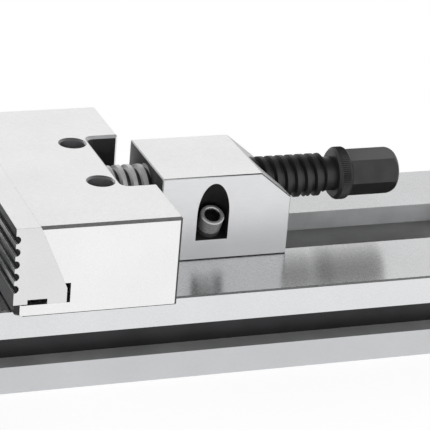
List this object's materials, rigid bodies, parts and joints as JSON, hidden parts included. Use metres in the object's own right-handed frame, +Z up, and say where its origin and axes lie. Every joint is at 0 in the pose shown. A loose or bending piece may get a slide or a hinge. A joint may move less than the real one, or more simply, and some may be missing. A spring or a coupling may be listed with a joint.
{
  "type": "precision machine vise",
  "caption": "Modular precision machine vise: long steel bed, fixed and sliding jaws with grooved plates, screw spindle with hexagon end, and a clamping nut block in a T-slot.",
  "frame": {"origin": "centre of the bed's underside", "axes": "+Z up, +X along the bed from the fixed jaw to the spindle's hexagon, +Y across the bed"},
  "size_m": [0.5, 0.16, 0.0985],
  "materials": {
    "ground_steel": "finely ground hardened steel, bright satin",
    "jaw_steel": "finely ground hardened steel, light",
    "black_oxide": "black-oxide finish, satin",
    "screw_black": "black-oxide cap screws",
    "spindle_steel": "bright thread near the jaw, black oxide towards the hexagon",
    "bearing_steel": "polished bearing steel",
    "cage_brass": "machined brass cage"
  },
  "bodies": {
    "base": {"bed": "ground_steel", "fixed_jaw": "jaw_steel", "fixed_jaw_plate": "jaw_steel", "fixed_plate_screws": "screw_black", "fixed_jaw_key": "ground_steel", "fixed_jaw_screws": "screw_black", "stop_block": "black_oxide", "stop_block_screw": "screw_black"},
    "carriage": {"nut_block": "jaw_steel", "clamp_bar": "black_oxide", "clamp_washers": "black_oxide"},
    "left_clamp_screw": {"clamp_screw_left": "screw_black"},
    "right_clamp_screw": {"clamp_screw_right": "screw_black"},
    "sliding_jaw": {"movable_jaw": "jaw_steel", "movable_jaw_plate": "jaw_steel", "movable_plate_screws": "screw_black", "guide_block": "black_oxide", "hold_down_plate": "black_oxide", "hold_down_screws": "screw_black", "thrust_block": "black_oxide", "thrust_block_screws": "screw_black", "housing_washer": "bearing_steel"},
    "screw_spindle": {"spindle": "spindle_steel", "shaft_washer": "bearing_steel", "retaining_washer": "ground_steel", "lock_nut": "black_oxide", "lock_nut_screw": "screw_black"},
    "ball_ring": {"bearing_balls": "bearing_steel", "bearing_cage": "cage_brass"}
  },
  "joints": [
    {"name": "carriage_slide", "type": "slide", "parent": "base", "child": "carriage", "axis": [1, 0, 0], "range_m": [-0.074, 0.13]},
    {"name": "jaw_slide", "type": "slide", "parent": "carriage", "child": "sliding_jaw", "axis": [1, 0, 0], "range_m": [-0.035, 0.023]},
    {"name": "spindle_turn", "type": "hinge", "parent": "sliding_jaw", "child": "screw_spindle", "pos_m": [0.01, 0, 0.0825], "axis": [1, 0, 0], "range_deg": [-2105, 1385]},
    {"name": "ball_ring_turn", "type": "hinge", "parent": "sliding_jaw", "child": "ball_ring", "pos_m": [0.005, 0, 0.0825], "axis": [1, 0, 0], "range_deg": [-1055, 695]},
    {"name": "left_clamp_turn", "type": "hinge", "parent": "carriage", "child": "left_clamp_screw", "pos_m": [0.0652, -0.02168, 0.06442], "axis": [0, -0.5, 0.866], "range_deg": [0, 360]},
    {"name": "right_clamp_turn", "type": "hinge", "parent": "carriage", "child": "right_clamp_screw", "pos_m": [0.0652, 0.02168, 0.06442], "axis": [0, 0.5, 0.866], "range_deg": [0, 360]}
  ],
  "couplings": [
    {"joint": "spindle_turn", "follows": "jaw_slide", "rad_per_m": 1047.2},
    {"joint": "ball_ring_turn", "follows": "jaw_slide", "rad_per_m": 523.6}
  ]
}
